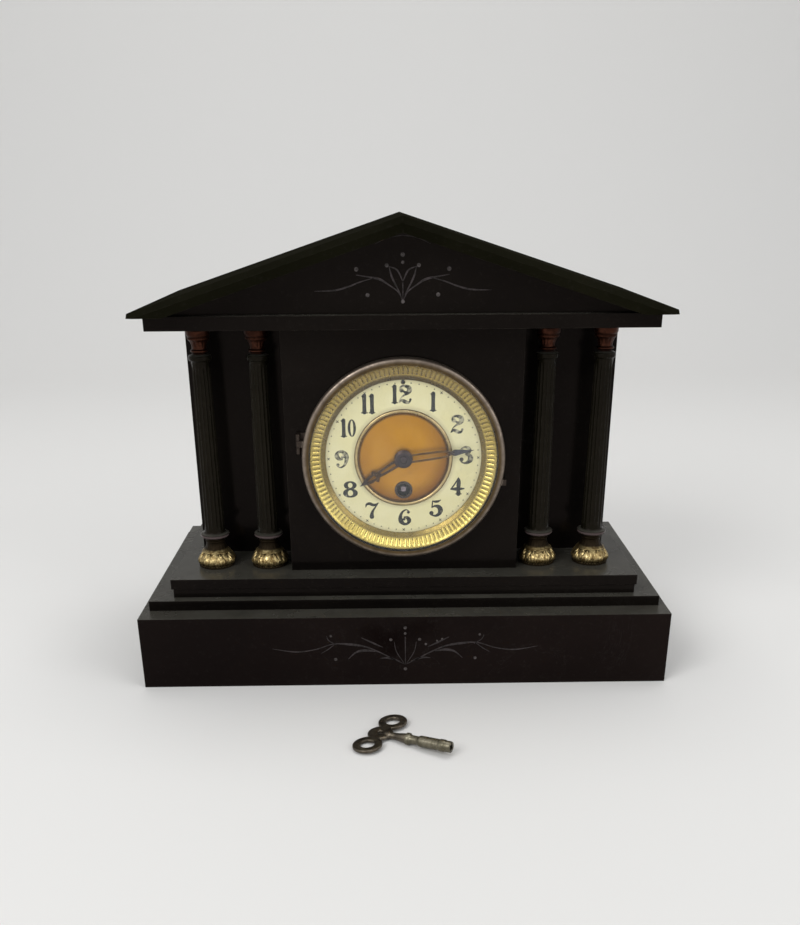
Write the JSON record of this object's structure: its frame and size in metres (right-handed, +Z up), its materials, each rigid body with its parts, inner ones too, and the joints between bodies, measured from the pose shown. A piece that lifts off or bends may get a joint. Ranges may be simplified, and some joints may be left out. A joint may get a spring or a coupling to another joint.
{
  "type": "mantel clock",
  "caption": "Black slate mantel clock shaped as a small temple with columns and pediment, round enamel dial under a hinged glazed bezel, pendulum movement and winding key",
  "frame": {"origin": "on the surface the clock stands on, in the middle of the plinth's width, 70 mm behind the plinth's front", "axes": "+X to the viewer's right along the plinth, +Y from the dial to the back, +Z up"},
  "size_m": [0.36, 0.2801, 0.3015],
  "materials": {
    "slate": "polished",
    "antique_brass": "satin",
    "copper_brass": "satin",
    "gilt_brass": "polished",
    "clock_brass": "satin",
    "enamel": "gloss",
    "clear_glass": "polished",
    "blued_steel": "satin",
    "steel": "satin"
  },
  "bodies": {
    "case": {"plinth_front": "slate", "plinth_back": "slate", "plinth_side_left": "slate", "plinth_side_right": "slate", "step_lower": "slate", "step_upper": "slate", "dial_slab": "slate", "block_side_left": "slate", "block_side_right": "slate", "wing_slab_left": "slate", "wing_slab_right": "slate", "case_side_left": "slate", "case_side_right": "slate", "back_slab": "slate", "entablature_slab": "slate", "tympanum_slab": "slate", "pediment_back_slab": "slate", "roof_slab_left": "slate", "roof_slab_right": "slate", "column_shafts": "slate", "column_bases": "antique_brass", "back_ring": "antique_brass", "column_capitals": "copper_brass", "sight_ring": "gilt_brass", "centre_disc": "gilt_brass", "dial_plate": "clock_brass", "bezel_seat": "clock_brass", "front_plate": "clock_brass", "back_plate": "clock_brass", "plate_pillars": "clock_brass", "suspension_cock": "clock_brass", "chapter_ring": "enamel", "hinge_pins": "steel", "suspension_spring": "steel", "tie_rods": "steel", "tie_screws": "steel"},
    "minute_train": {"centre_wheel": "clock_brass", "cannon_pinion": "steel", "minute_hand": "blued_steel", "hand_nut": "blued_steel"},
    "hour_train": {"hour_wheel": "clock_brass", "hour_hand": "blued_steel"},
    "minute_gear": {"minute_wheel": "clock_brass"},
    "third_gear": {"third_wheel": "clock_brass"},
    "escape_gear": {"escape_wheel": "clock_brass"},
    "intermediate_gear": {"intermediate_wheel": "clock_brass"},
    "barrel": {"mainspring_barrel": "clock_brass", "mainspring": "steel"},
    "winding": {"winding_arbor": "steel", "ratchet_wheel": "steel"},
    "click_pawl": {"click": "steel"},
    "bezel_door": {"bezel_ring": "antique_brass", "bezel_glass": "clear_glass"},
    "rear_door": {"back_door": "antique_brass"},
    "pendulum": {"pendulum_rod": "steel", "pendulum_bob": "clock_brass"},
    "anchor": {"pallet_anchor": "steel"},
    "regulator": {"regulator_arbor": "steel"},
    "rating": {"rating_block": "clock_brass"},
    "key": {"winding_key": "steel"}
  },
  "joints": [
    {"name": "minute_arbor", "type": "hinge", "parent": "case", "child": "minute_train", "pos_m": [0, -0.021, 0.15], "axis": [0, 1, 0], "continuous": true},
    {"name": "hour_pipe", "type": "hinge", "parent": "case", "child": "hour_train", "pos_m": [0, -0.028, 0.15], "axis": [0, 1, 0], "continuous": true},
    {"name": "minute_wheel_stud", "type": "hinge", "parent": "case", "child": "minute_gear", "pos_m": [0.01128, -0.025, 0.1541], "axis": [0, 1, 0], "continuous": true},
    {"name": "third_arbor", "type": "hinge", "parent": "case", "child": "third_gear", "pos_m": [-0.01295, -0.007, 0.16126], "axis": [0, 1, 0], "continuous": true},
    {"name": "escape_arbor", "type": "hinge", "parent": "case", "child": "escape_gear", "pos_m": [0, 0.003, 0.171], "axis": [0, 1, 0], "continuous": true},
    {"name": "intermediate_arbor", "type": "hinge", "parent": "case", "child": "intermediate_gear", "pos_m": [0.01609, -0.018, 0.14277], "axis": [0, 1, 0], "continuous": true},
    {"name": "barrel_turn", "type": "hinge", "parent": "case", "child": "barrel", "pos_m": [0, -0.008, 0.128], "axis": [0, 1, 0], "continuous": true},
    {"name": "winding_turn", "type": "hinge", "parent": "case", "child": "winding", "pos_m": [0, -0.023, 0.128], "axis": [0, 1, 0], "continuous": true},
    {"name": "click_pivot", "type": "hinge", "parent": "case", "child": "click_pawl", "pos_m": [0.01148, -0.0234, 0.13151], "axis": [0, 1, 0], "range_deg": [0, 12], "stiffness_Nm_per_rad": 0.0005, "springref_deg": -11.46},
    {"name": "bezel_hinge", "type": "hinge", "parent": "case", "child": "bezel_door", "pos_m": [-0.0694, -0.0376, 0.162], "axis": [0, 0, -1], "range_deg": [0, 110]},
    {"name": "back_door_hinge", "type": "hinge", "parent": "case", "child": "rear_door", "pos_m": [0.054, 0.1038, 0.15], "axis": [0, 0, -1], "range_deg": [0, 110]},
    {"name": "pendulum_swing", "type": "hinge", "parent": "case", "child": "pendulum", "pos_m": [0, 0.019, 0.1853], "axis": [0, 1, 0], "range_deg": [-3.5, 3.5]},
    {"name": "anchor_rock", "type": "hinge", "parent": "case", "child": "anchor", "pos_m": [0, 0.003, 0.1853], "axis": [0, 1, 0], "range_deg": [-3.5, 3.5]},
    {"name": "regulator_turn", "type": "hinge", "parent": "case", "child": "regulator", "pos_m": [0, -0.003, 0.2006], "axis": [0, 1, 0], "range_deg": [-720, 720]},
    {"name": "rating_slide", "type": "slide", "parent": "case", "child": "rating", "axis": [0, 0, 1], "range_m": [-0.001, 0.001]},
    {"name": "key_lift", "type": "slide", "parent": "case", "child": "key", "axis": [0, 0, 1], "range_m": [0, 0.12]}
  ],
  "couplings": [
    {"joint": "hour_pipe", "follows": "minute_arbor", "ratio": 0.083333},
    {"joint": "minute_wheel_stud", "follows": "minute_arbor", "ratio": -0.33333},
    {"joint": "third_arbor", "follows": "minute_arbor", "ratio": -12},
    {"joint": "escape_arbor", "follows": "minute_arbor", "ratio": 150},
    {"joint": "intermediate_arbor", "follows": "minute_arbor", "ratio": -0.16667},
    {"joint": "barrel_turn", "follows": "minute_arbor", "ratio": 0.027778},
    {"joint": "anchor_rock", "follows": "pendulum_swing", "ratio": 1},
    {"joint": "regulator_turn", "follows": "rating_slide", "rad_per_m": 12579}
  ]
}
